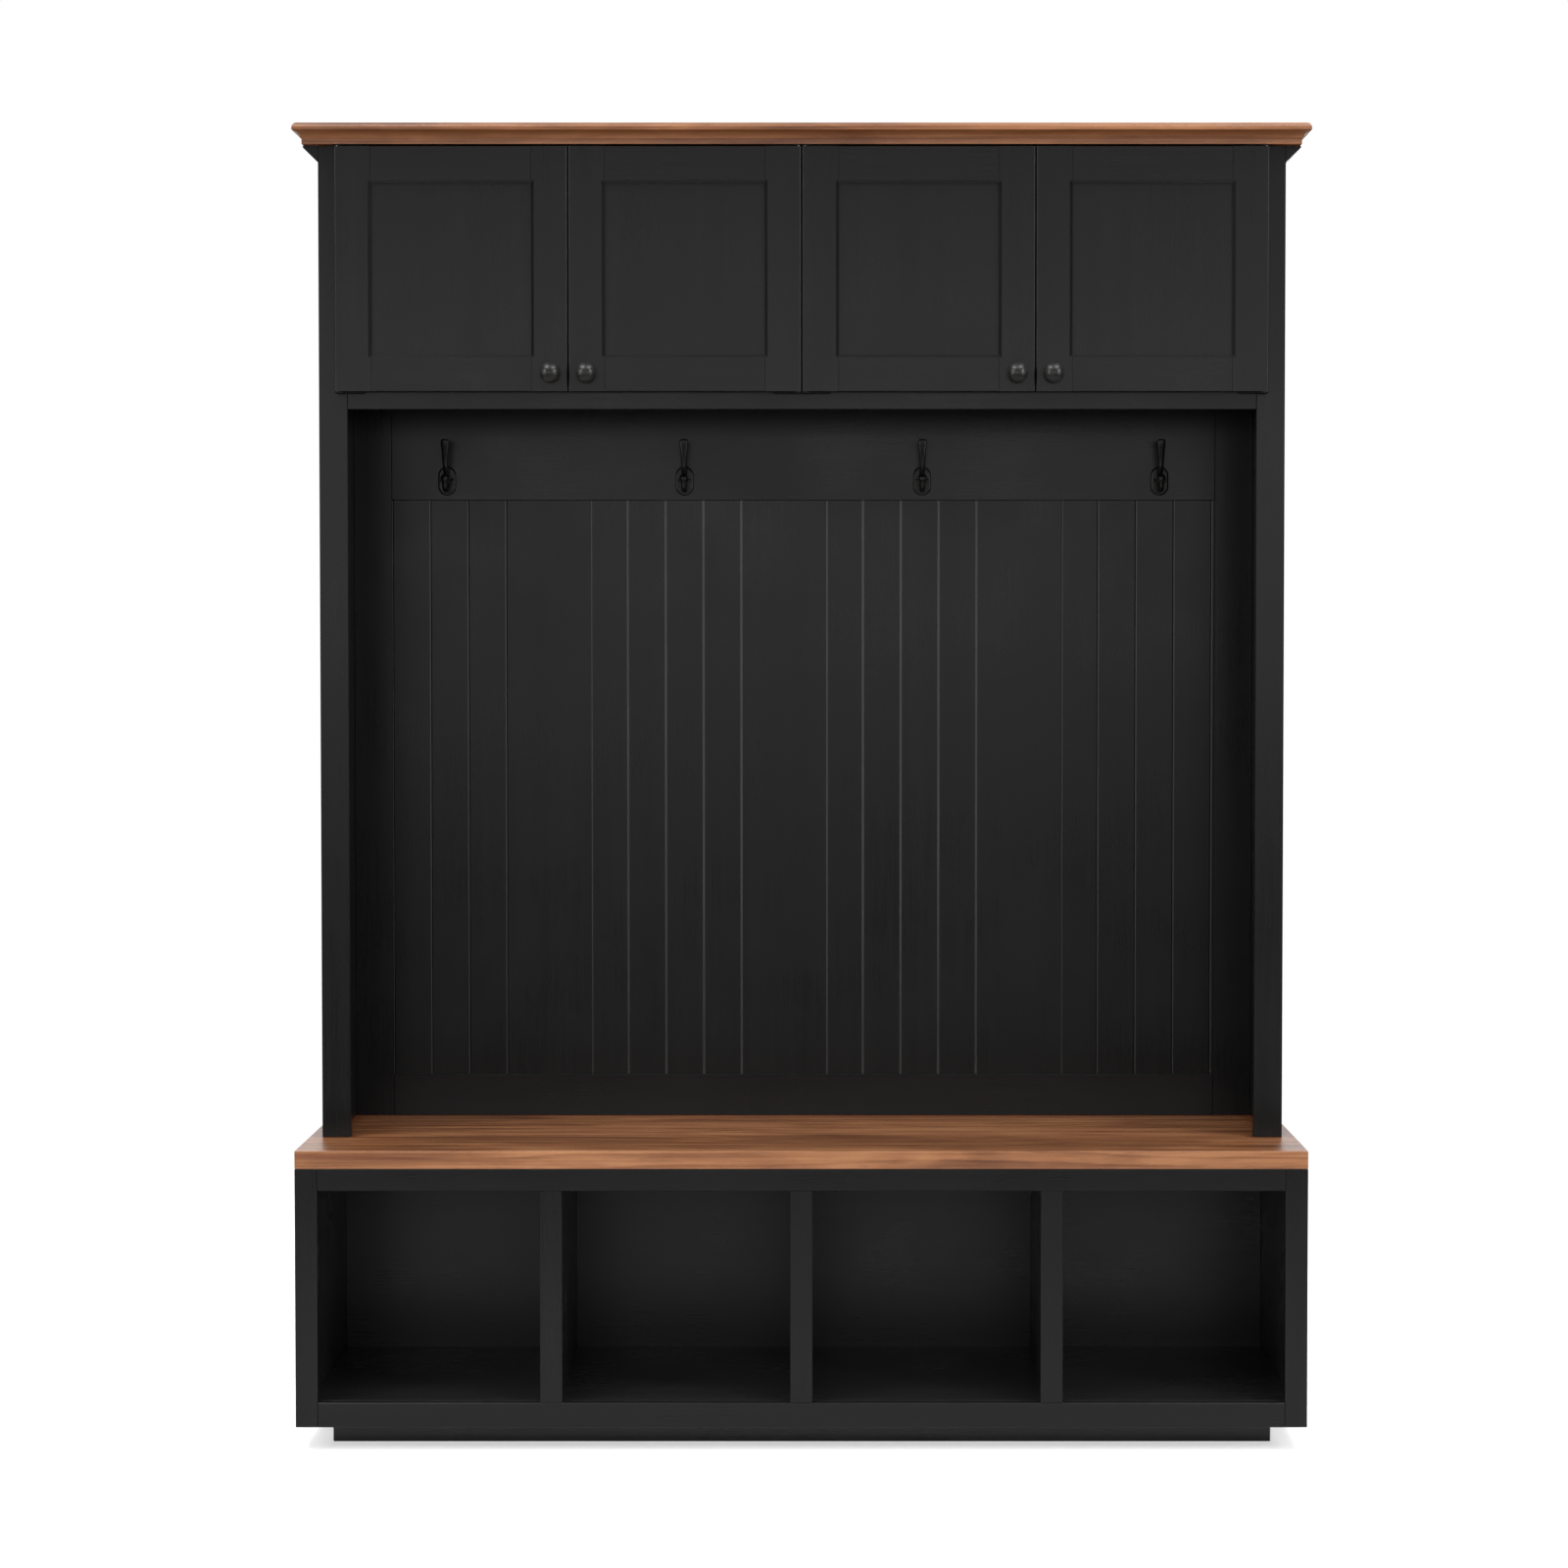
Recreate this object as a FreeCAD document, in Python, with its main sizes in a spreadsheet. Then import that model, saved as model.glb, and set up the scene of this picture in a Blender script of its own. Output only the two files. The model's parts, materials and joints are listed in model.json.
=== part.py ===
"""Hall tree: a cubby bench with a wood seat, a hutch with coat hooks on a grooved
back, and a four-door cabinet under a moulded wood cornice.

Millimetres. +X to the right, +Y to the back, +Z up. The origin is on the floor,
under the middle of the object's box. The front faces -Y.
"""
import FreeCAD
import Part
import math
import os
import re
import Sketcher

V = FreeCAD.Vector
doc = FreeCAD.newDocument("hall_tree")

# ---------------------------------------------------------------- driving sizes
SIZES = [
    # bench
    ("bench_width", 1500), ("bench_depth", 457), ("board", 18), ("thin_back", 6), ("ease", 0.7),
    ("plinth_height", 36.5), ("plinth_recess", 46), ("plinth_setback", 75), ("plinth_board", 55),
    ("bench_rail_height", 36.5), ("bench_top", 421), ("apron_height", 32.5),
    ("bench_stile", 33), ("mullion_width", 33), ("mullion_pitch", 371),
    ("seat_thickness", 27), ("seat_round", 1.5),
    # hutch
    ("hutch_width", 1459.5), ("hutch_setback", 160), ("face_stile", 43),
    ("hutch_top", 1948.3), ("cabinet_rail_low", 1552.5), ("cabinet_rail_height", 41.5),
    ("top_rail_height", 45), ("centre_mullion", 40),
    ("bead_thickness", 18), ("back_frame", 7), ("back_stile_edge", 652),
    ("hook_rail_low", 1426), ("base_rail_height", 65),
    ("groove_width", 3.4), ("groove_depth", 0.8), ("groove_pitch", 60), ("groove_period", 373), ("groove_first", -651.5),
    ("wall_rail_height", 90), ("wall_hole_spacing", 812.8), ("wall_hole_radius", 3),
    # cornice
    ("cornice_height", 31), ("cornice_overhang", 35), ("cornice_band", 21.5), ("cornice_front", 34.5),
    ("moulding_width", 22.5), ("moulding_height", 23),
    # doors
    ("door_width", 350.5), ("door_height", 366.8), ("door_thickness", 20), ("door_gap", 1), ("hinge_gap", 1.6), ("door_low", 1578),
    ("door_standoff", 2.5), ("door_frame", 55), ("panel_thickness", 6), ("panel_setback", 7), ("panel_groove", 8),
    ("door_round", 2.5), ("door_bevel", 4.5), ("pivot_inset", 4), ("pivot_depth", 4), ("pin_radius", 1.5), ("pin_clearance", 0.05), ("bush_radius", 2.5),
    ("bush_length", 14), ("plate_thickness", 2),
    # knobs, hooks, small hardware
    ("knob_inset", 26.5), ("knob_radius", 14.5), ("knob_reach", 25.5),
    ("hook_pitch", 376), ("hook_height", 1456), ("hook_plate", 4.5), ("hook_half_width", 14), ("hook_straight", 18),
    ("screw_offset", 8), ("screw_radius", 1.75), ("bumper_radius", 4), ("bumper_thickness", 2.4),
]
sheet = doc.addObject("Spreadsheet::Sheet", "Dims")
for row, (name, value) in enumerate(SIZES, start=1):
    sheet.set("A%d" % row, name.replace("_", " "))
    sheet.set("B%d" % row, str(value))
    sheet.setAlias("B%d" % row, name)
doc.recompute()
D = {name: float(sheet.get(name)) for name, _ in SIZES}
WORDS = re.compile(r"[a-z][a-z_]+")


def cells(text):
    """An expression on the sheet, from the plain names of its cells."""
    return WORDS.sub(lambda m: "Dims." + m.group(0), str(text))


# Recurring planes, as expressions on the sheet.
FRONT = "-bench_depth/2"                                  # bench front
BACK = "bench_depth/2"                                    # back of everything
FACE = "(-bench_depth/2+hutch_setback)"                   # front of the hutch face frame
FRAME = "(bench_depth/2-bead_thickness-back_frame)"       # front of the back frame
SEAT = "(bench_top+seat_thickness)"                       # seat surface
FLOOR = "(cabinet_rail_low+cabinet_rail_height)"          # cabinet floor surface
HALF = "hutch_width/2"
INNER = "(hutch_width/2-board)"                           # inside of the hutch sides
DOOR_FACE = "(-bench_depth/2+hutch_setback-door_standoff-door_thickness)"

nodes = []                                                # objects that become files


def keep(obj, label):
    obj.Label = label
    nodes.append(obj)
    return obj


def plane(body, role):
    return next(f for f in body.Origin.OriginFeatures if f.Role == role)


def place(obj, at):
    for axis, text in zip("xyz", at):
        obj.setExpression("Placement.Base." + axis, cells(text))


def new_sketch(body, name, role="XY_Plane", offset=None):
    sk = body.newObject("Sketcher::SketchObject", name)
    sk.AttachmentSupport = [(plane(body, role), "")]
    sk.MapMode = "FlatFace"
    if offset is not None:
        sk.AttachmentOffset = FreeCAD.Placement(offset, FreeCAD.Rotation())
    return sk


def rectangle(sk, wide, tall, low=None):
    """A rectangle whose two sizes, and low corner if given, are bound to the sheet."""
    a = [V(0, 0, 0), V(10, 0, 0), V(10, 10, 0), V(0, 10, 0)]
    for i in range(4):
        sk.addGeometry(Part.LineSegment(a[i], a[(i + 1) % 4]), False)
    for i in range(4):
        sk.addConstraint(Sketcher.Constraint("Coincident", i, 2, (i + 1) % 4, 1))
    for i, kind in enumerate(("Horizontal", "Vertical", "Horizontal", "Vertical")):
        sk.addConstraint(Sketcher.Constraint(kind, i))
    for kind, args, key, text in (("DistanceX", (0, 1, 0, 2), "wide", wide), ("DistanceY", (1, 1, 1, 2), "tall", tall)):
        sk.renameConstraint(sk.addConstraint(Sketcher.Constraint(kind, *args, 10.0)), key)
        sk.setExpression("Constraints." + key, cells(text))
    if low is None:
        sk.addConstraint(Sketcher.Constraint("Coincident", 0, 1, -1, 1))
    else:
        for kind, key, text in (("DistanceX", "low_x", low[0]), ("DistanceY", "low_y", low[1])):
            sk.renameConstraint(sk.addConstraint(Sketcher.Constraint(kind, -1, 1, 0, 1, 1.0)), key)
            sk.setExpression("Constraints." + key, cells(text))


def outline(sk, points):
    """A closed outline. A point is (x, y), or (x, y, mid_x, mid_y) where an arc through mid leads to it."""
    last = V(points[-1][0], points[-1][1], 0)
    first = 0
    for i, p in enumerate(points):
        here = V(p[0], p[1], 0)
        if len(p) == 4:
            sk.addGeometry(Part.Arc(last, V(p[2], p[3], 0), here), False)
        else:
            sk.addGeometry(Part.LineSegment(last, here), False)
        last = here
    return first


def circles(sk, centres, radius):
    for n, (x, y) in enumerate(centres):
        i = sk.addGeometry(Part.Circle(V(x, y, 0), V(0, 0, 1), 1.0), False)
        sk.renameConstraint(sk.addConstraint(Sketcher.Constraint("Radius", i, 1.0)), "radius%d" % n)
        sk.setExpression("Constraints.radius%d" % n, cells(radius))
        for kind, value in (("DistanceX", x), ("DistanceY", y)):
            sk.addConstraint(Sketcher.Constraint(kind, -1, 1, i, 3, value))


def pad(body, sk, length, name):
    p = body.newObject("PartDesign::Pad", name)
    p.Profile = sk
    p.setExpression("Length", cells(length))
    sk.Visibility = False
    return p


def eased(body, feature, size="ease", kind="Chamfer"):
    """Small broken edges all round, as sanding leaves them under paint."""
    f = body.newObject("PartDesign::" + kind, body.Name + "_eased")
    f.Base = (feature, [])
    f.UseAllEdges = True
    f.setExpression("Size" if kind == "Chamfer" else "Radius", cells(size))
    return f


def board(name, at, size, ease=True):
    """A flat board: low corner and sizes are expressions on the sheet."""
    body = doc.addObject("PartDesign::Body", name)
    sk = new_sketch(body, name + "_outline")
    rectangle(sk, size[0], size[1])
    p = pad(body, sk, size[2], name + "_pad")
    if ease:
        eased(body, p)
    place(body, at)
    return body


def profile(name, points, length, at, role="XY_Plane"):
    body = doc.addObject("PartDesign::Body", name)
    sk = new_sketch(body, name + "_section", role)
    outline(sk, points)
    pad(body, sk, length, name + "_pad")
    place(body, at)
    return body


def group(label, members):
    g = doc.addObject("Part::Compound", label)
    g.Links = members
    return keep(g, label)


def solid_board(label, at, size, ease=True):
    return keep(board(label, at, size, ease), label)


# ------------------------------------------------------------------------ plinth
PW = "(bench_width-2*plinth_recess)"
PY = "(-bench_depth/2+plinth_setback)"
PB = "(bench_depth/2-42)"
solid_board("plinth_front_board", ("-%s/2" % PW, PY, "0"), (PW, "board", "plinth_board"))
solid_board("plinth_back_board", ("-%s/2" % PW, PB, "0"), (PW, "board", "plinth_board"))
CROSS = "(%s-%s-board)" % (PB, PY)
group("plinth_cross_boards", [
    board("plinth_cross_left", ("-%s/2" % PW, PY + "+board", "0"), ("board", CROSS, "plinth_board")),
    board("plinth_cross_centre", ("-board/2", PY + "+board", "0"), ("board", CROSS, "plinth_board")),
    board("plinth_cross_right", ("%s/2-board" % PW, PY + "+board", "0"), ("board", CROSS, "plinth_board")),
])

# ------------------------------------------------------------------------- bench
BW = "bench_width/2"
SIDE_DEPTH = "bench_depth-board"
solid_board("bench_left_side", ("-" + BW, FRONT + "+board", "plinth_height"), ("board", SIDE_DEPTH, "bench_top-plinth_height"))
solid_board("bench_right_side", (BW + "-board", FRONT + "+board", "plinth_height"), ("board", SIDE_DEPTH, "bench_top-plinth_height"))
solid_board("bench_bottom_panel", ("-%s+board" % BW, FRONT + "+board", "plinth_height+bench_rail_height-board"),
            ("bench_width-2*board", "bench_depth-board-thin_back", "board"))
solid_board("bench_back_panel", ("-%s+board" % BW, BACK + "-thin_back", "plinth_board"),
            ("bench_width-2*board", "thin_back", "bench_top-plinth_board"))
solid_board("bench_rear_rail", ("-%s+board" % BW, BACK + "-thin_back-board", "bench_top-apron_height"),
            ("bench_width-2*board", "board", "apron_height"))
group("bench_stiles", [
    board("bench_stile_left", ("-" + BW, FRONT, "plinth_height"), ("bench_stile", "board", "bench_top-plinth_height")),
    board("bench_stile_right", (BW + "-bench_stile", FRONT, "plinth_height"), ("bench_stile", "board", "bench_top-plinth_height")),
])
BETWEEN = "bench_width-2*bench_stile"
solid_board("bench_bottom_rail", ("-%s+bench_stile" % BW, FRONT, "plinth_height"), (BETWEEN, "board", "bench_rail_height"))
solid_board("bench_apron_rail", ("-%s+bench_stile" % BW, FRONT, "bench_top-apron_height"), (BETWEEN, "board", "apron_height"))
OPENING = "bench_top-apron_height-plinth_height-bench_rail_height"
group("bench_mullions", [
    board("bench_mullion_%s" % side, ("%s*mullion_pitch-mullion_width/2" % k, FRONT, "plinth_height+bench_rail_height"),
          ("mullion_width", "board", OPENING))
    for side, k in (("left", "-1"), ("centre", "0"), ("right", "1"))])

# Dividers run from the bottom panel to the seat and are notched round the rear rail.
deep = D["bench_depth"] - D["board"] - D["thin_back"]
high = D["bench_top"] - D["plinth_height"] - D["bench_rail_height"]
notch = [(deep, 0), (deep, high - D["apron_height"]), (deep - D["board"], high - D["apron_height"]), (deep - D["board"], high), (0, high), (0, 0)]
group("bench_dividers", [
    profile("bench_divider_%s" % side, notch, "board",
            ("%s*mullion_pitch-board/2" % k, FRONT + "+board", "plinth_height+bench_rail_height"), "YZ_Plane")
    for side, k in (("left", "-1"), ("centre", "0"), ("right", "1"))])

seat = doc.addObject("PartDesign::Body", "bench_seat")
sk = new_sketch(seat, "seat_outline")
rectangle(sk, "bench_width", "bench_depth")
eased(seat, pad(seat, sk, "seat_thickness", "seat_pad"), "seat_round", "Fillet")
place(seat, ("-" + BW, FRONT, "bench_top"))
keep(seat, "bench_seat")

# ------------------------------------------------------------------- hutch frame
TALL = "hutch_top-bench_top-seat_thickness"
solid_board("hutch_left_side", ("-" + HALF, FACE + "+board", SEAT), ("board", "bench_depth-hutch_setback-board", TALL))
solid_board("hutch_right_side", (HALF + "-board", FACE + "+board", SEAT), ("board", "bench_depth-hutch_setback-board", TALL))
solid_board("hutch_left_stile", ("-" + HALF, FACE, SEAT), ("face_stile", "board", TALL))
solid_board("hutch_right_stile", (HALF + "-face_stile", FACE, SEAT), ("face_stile", "board", TALL))
BAY = "hutch_width-2*face_stile"
solid_board("cabinet_bottom_rail", ("-%s+face_stile" % HALF, FACE, "cabinet_rail_low"), (BAY, "board", "cabinet_rail_height"))
solid_board("cabinet_top_rail", ("-%s+face_stile" % HALF, FACE, "hutch_top-top_rail_height"), (BAY, "board", "top_rail_height"))
solid_board("cabinet_centre_mullion", ("-centre_mullion/2", FACE, FLOOR), ("centre_mullion", "board", "hutch_top-top_rail_height-%s" % FLOOR))
IN_DEPTH = "bench_depth-hutch_setback-board-thin_back"
solid_board("cabinet_floor", ("-" + INNER, FACE + "+board", FLOOR + "-board"), ("2*" + INNER, IN_DEPTH, "board"))
solid_board("cabinet_top_panel", ("-" + INNER, FACE + "+board", "hutch_top-board"), ("2*" + INNER, IN_DEPTH, "board"))

# Divider between the two compartments, notched round the wall fixing rail.
deep = D["bench_depth"] - D["hutch_setback"] - D["board"] - D["thin_back"]
high = D["hutch_top"] - D["board"] - D["cabinet_rail_low"] - D["cabinet_rail_height"]
step = high - D["wall_rail_height"]
notch = [(deep, 0), (deep, step), (deep - D["board"], step), (deep - D["board"], high), (0, high), (0, 0)]
keep(profile("cabinet_divider", notch, "board", ("-board/2", FACE + "+board", FLOOR), "YZ_Plane"), "cabinet_divider")

# The rail that is screwed to the wall, and the thin back behind it, share two holes.
HOLE_Z = "hutch_top-board-wall_rail_height/2"


def bored_board(label, at, size, low_z):
    body = board(label, at, size)
    doc.recompute()
    solid_before = body.Shape.Volume
    sk = new_sketch(body, label + "_holes", "XZ_Plane")
    z = D["hutch_top"] - D["board"] - D["wall_rail_height"] / 2 - low_z
    half = D["hutch_width"] / 2 - D["board"]
    circles(sk, [(half - D["wall_hole_spacing"] / 2, z), (half + D["wall_hole_spacing"] / 2, z)], "wall_hole_radius")
    cut = body.newObject("PartDesign::Pocket", label + "_bore")
    cut.Profile = sk
    cut.Type = 1
    cut.Reversed = False
    doc.recompute()
    if abs(body.Shape.Volume - solid_before) < 1.0:
        cut.Reversed = True
        doc.recompute()
    assert solid_before - body.Shape.Volume > 100.0, label
    return keep(body, label)


bored_board("wall_fixing_rail", ("-" + INNER, BACK + "-thin_back-board", "hutch_top-board-wall_rail_height"),
            ("2*" + INNER, "board", "wall_rail_height"), D["hutch_top"] - D["board"] - D["wall_rail_height"])
bored_board("cabinet_back_panel", ("-" + INNER, BACK + "-thin_back", FLOOR + "-board"),
            ("2*" + INNER, "thin_back", "hutch_top-%s+board" % FLOOR), D["cabinet_rail_low"] + D["cabinet_rail_height"] - D["board"])

# -------------------------------------------------------------------- back frame
BACK_TALL = "%s-board-%s" % (FLOOR, SEAT)
group("back_stiles", [
    board("back_stile_left", ("-" + INNER, FRAME, SEAT), (INNER + "-back_stile_edge", "back_frame", BACK_TALL)),
    board("back_stile_right", ("back_stile_edge", FRAME, SEAT), (INNER + "-back_stile_edge", "back_frame", BACK_TALL)),
])
solid_board("back_base_rail", ("-back_stile_edge", FRAME, SEAT), ("2*back_stile_edge", "back_frame", "base_rail_height"))

hook_x = [D["hook_pitch"] * k for k in (-1.5, -0.5, 0.5, 1.5)]


def pilot_holes(body, low_x, low_z, depth=None):
    """Holes for the hook screws, from the front face: right through, or to a depth."""
    doc.recompute()
    whole = body.Shape.Volume
    sk = new_sketch(body, body.Name + "_pilots", "XZ_Plane")
    circles(sk, [(low_x + x + s * D["screw_offset"], D["hook_height"] - low_z) for x in hook_x for s in (-1, 1)], "screw_radius+0.05")
    cut = body.newObject("PartDesign::Pocket", body.Name + "_bore")
    cut.Profile = sk
    if depth is None:
        cut.Type = 1
    else:
        cut.Length = depth
    doc.recompute()
    if abs(body.Shape.Volume - whole) < 1.0:
        cut.Reversed = True
        doc.recompute()
    assert whole - body.Shape.Volume > 400.0, body.Name


rail = board("hook_rail", ("-back_stile_edge", FRAME, "hook_rail_low"), ("2*back_stile_edge", "back_frame", "%s-board-hook_rail_low" % FLOOR))
pilot_holes(rail, D["back_stile_edge"], D["hook_rail_low"])
keep(rail, "hook_rail")

# Beadboard: one sheet with V grooves. Four long lines a pitch apart, then a finer one before the next set.
wide = 2 * (D["hutch_width"] / 2 - D["board"])
thick = D["bead_thickness"]
lines = []
for k in range(4):
    p0 = D["groove_first"] + k * D["groove_period"]
    lines += [(p0 + i * D["groove_pitch"], 1.0) for i in range(4)]
    if k < 3:
        lines.append((p0 + D["groove_period"] - 57.0, 0.7))
section = [(wide, 0), (wide, thick), (0, thick), (0, 0)]
for x, share in sorted(lines):
    u = x + wide / 2
    w = D["groove_width"] * share / 2
    section += [(u - w, 0), (u, D["groove_depth"] * share), (u + w, 0)]
bead = profile("beadboard_panel", section, BACK_TALL, ("-" + INNER, BACK + "-bead_thickness", SEAT))
pilot_holes(bead, wide / 2, D["bench_top"] + D["seat_thickness"], 8.0)
keep(bead, "beadboard_panel")

# ----------------------------------------------------------------------- cornice
# One moulded edge runs round the front and both ends: a flat band, a shallow
# cove, and a full rounded nose.
tall = D["cornice_height"]


def edge(reach, band):
    """(overhang, height) up the moulded edge; an arc carries its own midpoint."""
    soft = 8.5 * (1 - math.sqrt(0.5))
    return [(band, 0), (band, 8.0), (band + 1.2, 8.0), (reach - 0.8, 19.2, (band + reach + 0.4) / 2 - 1.75, 15.35), (reach, 20.8, reach - 0.15, 19.9), (reach, tall - 8.5),
            (reach - 8.5, tall, reach - soft, tall - soft)]


def mirrored(points, sign):
    return [tuple(sign * c if i % 2 == 0 else c for i, c in enumerate(p)) for p in points]


def shifted(points, dx):
    return [tuple(c + dx if i % 2 == 0 else c for i, c in enumerate(p)) for p in points]


depth = D["bench_depth"] - D["hutch_setback"]
front = shifted(mirrored(edge(D["cornice_front"], D["cornice_band"]), -1), 0)
front_run = profile("cornice_front_run", front + [(depth, tall), (depth, 0)], "hutch_width+2*cornice_overhang+20",
                    ("-hutch_width/2-cornice_overhang-10", FACE, "hutch_top"), "YZ_Plane")
half = D["hutch_width"] / 2
right = shifted(edge(D["cornice_overhang"], D["cornice_band"]), half)
left = shifted(mirrored(edge(D["cornice_overhang"], D["cornice_band"]), -1), -half)


def reverse(points):
    """The same run walked the other way, arcs kept."""
    out = []
    for i in range(len(points) - 1, -1, -1):
        p = points[i][:2]
        if i + 1 < len(points) and len(points[i + 1]) == 4:
            p = p + points[i + 1][2:]
        out.append(p)
    return out


end_run = profile("cornice_end_run", right + reverse(left), "bench_depth", ("0", BACK, "hutch_top"), "XZ_Plane")
cornice = doc.addObject("Part::Common", "cornice_top")
cornice.Base = front_run
cornice.Tool = end_run
keep(cornice, "cornice_top")

w, t = D["moulding_width"], D["moulding_height"]
tri = [(w, t), (0, t), (0, 0), (2.0, 0), (w, t - 3.0)]
group("cornice_side_mouldings", [
    profile("cornice_moulding_right", tri, "bench_depth-hutch_setback", ("hutch_width/2", BACK, "hutch_top-moulding_height"), "XZ_Plane"),
    profile("cornice_moulding_left", mirrored(tri, -1), "bench_depth-hutch_setback", ("-hutch_width/2", BACK, "hutch_top-moulding_height"), "XZ_Plane"),
])

# ------------------------------------------------------------------------- doors
DW, DH, DT = D["door_width"], D["door_height"], D["door_thickness"]
FR, G0, G1, GD, RO = D["door_frame"], D["panel_setback"], D["panel_setback"] + D["panel_thickness"], D["panel_groove"], D["door_round"]
BREAK = 0.6
STILE = [(FR - BREAK, 0), (FR, BREAK), (FR, G0), (FR - GD, G0), (FR - GD, G1), (FR, G1), (FR, DT - BREAK), (FR - BREAK, DT),
         (BREAK, DT), (0, DT - BREAK), (0, RO), (RO, 0, RO - RO * math.sqrt(0.5), RO - RO * math.sqrt(0.5))]


def drilled(body, name, x, y):
    """Blind holes for the pivot bushes in both ends of a hinge stile."""
    doc.recompute()
    for end, z, back in (("low", 0.0, True), ("high", DH, False)):
        before = body.Shape.Volume
        sk = new_sketch(body, "%s_%s_hole" % (name, end), "XY_Plane", V(0, 0, z))
        circles(sk, [(x, y)], "bush_radius+0.02")
        cut = body.newObject("PartDesign::Pocket", "%s_%s_bore" % (name, end))
        cut.Profile = sk
        cut.setExpression("Length", cells("bush_length"))
        cut.Reversed = back
        doc.recompute()
        assert before - body.Shape.Volume > 200.0, (name, end)


def bevelled(body, name, low_x, low_z):
    """The sloped inner edge of a door frame, mitred at the corners: a cut that narrows from the front to the panel's opening."""
    doc.recompute()
    before = body.Shape.Volume
    cut = body.newObject("PartDesign::SubtractiveWedge", name)
    wide, tall = "door_width-2*door_frame", "door_height-2*door_frame"
    cut.Ymin = -1.0
    cut.setExpression("Ymax", cells("door_bevel+1"))
    for axis, low, size in (("X", low_x, wide), ("Z", low_z, tall)):
        cut.setExpression(axis + "min", cells("%s-door_bevel-1" % low))
        cut.setExpression(axis + "max", cells("%s+%s+door_bevel+1" % (low, size)))
        cut.setExpression(axis + "2min", cells("%s+1" % low))
        cut.setExpression(axis + "2max", cells("%s+%s-1" % (low, size)))
    doc.recompute()
    assert before - body.Shape.Volume > 1000.0, (name, before - body.Shape.Volume)


def dome(r, rim, top):
    """The end of a domed face, with a midpoint of its arc: a sphere's cap from the rim to the top of the axis."""
    zc = (top ** 2 - r ** 2 - rim ** 2) / (2 * (top - rim))
    big = top - zc
    a = 0.5 * math.atan2(r, rim - zc)
    return (0, top, big * math.sin(a), zc + big * math.cos(a))


def knob_profile():
    r, rim = D["knob_radius"], 18.0
    return [(8.5, 0), (8.5, 1.6), (6.0, 3.2, 7.2, 2.0), (5.6, 9.0), (r - 0.6, 15.0, 8.2, 13.0), (r, 16.2), (r, rim),
            dome(r, rim, D["knob_reach"]), (0, 0)]


def turned(name, points):
    body = doc.addObject("PartDesign::Body", name)
    sk = new_sketch(body, name + "_half_section", "XZ_Plane")
    outline(sk, points)
    rev = body.newObject("PartDesign::Revolution", name + "_turn")
    rev.Profile = sk
    rev.ReferenceAxis = (sk, ["V_Axis"])
    rev.Angle = 360.0
    return body


FORWARD = FreeCAD.Rotation(V(1, 0, 0), 90)      # a piece turned about its own +Z then points to -Y


def bush(name, flange):
    """A sleeve round the pivot pin, with a thin thrust flange on the lower one."""
    r, inner, long = D["bush_radius"], D["pin_radius"] + D["pin_clearance"], D["bush_length"]
    pts = [(inner, 0), (r, 0), (r, long), (inner, long)]
    if flange:
        pts = [(inner, -0.4), (r + 1.0, -0.4), (r + 1.0, 0), (r, 0), (r, long), (inner, long)]
    return turned(name, pts)


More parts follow.
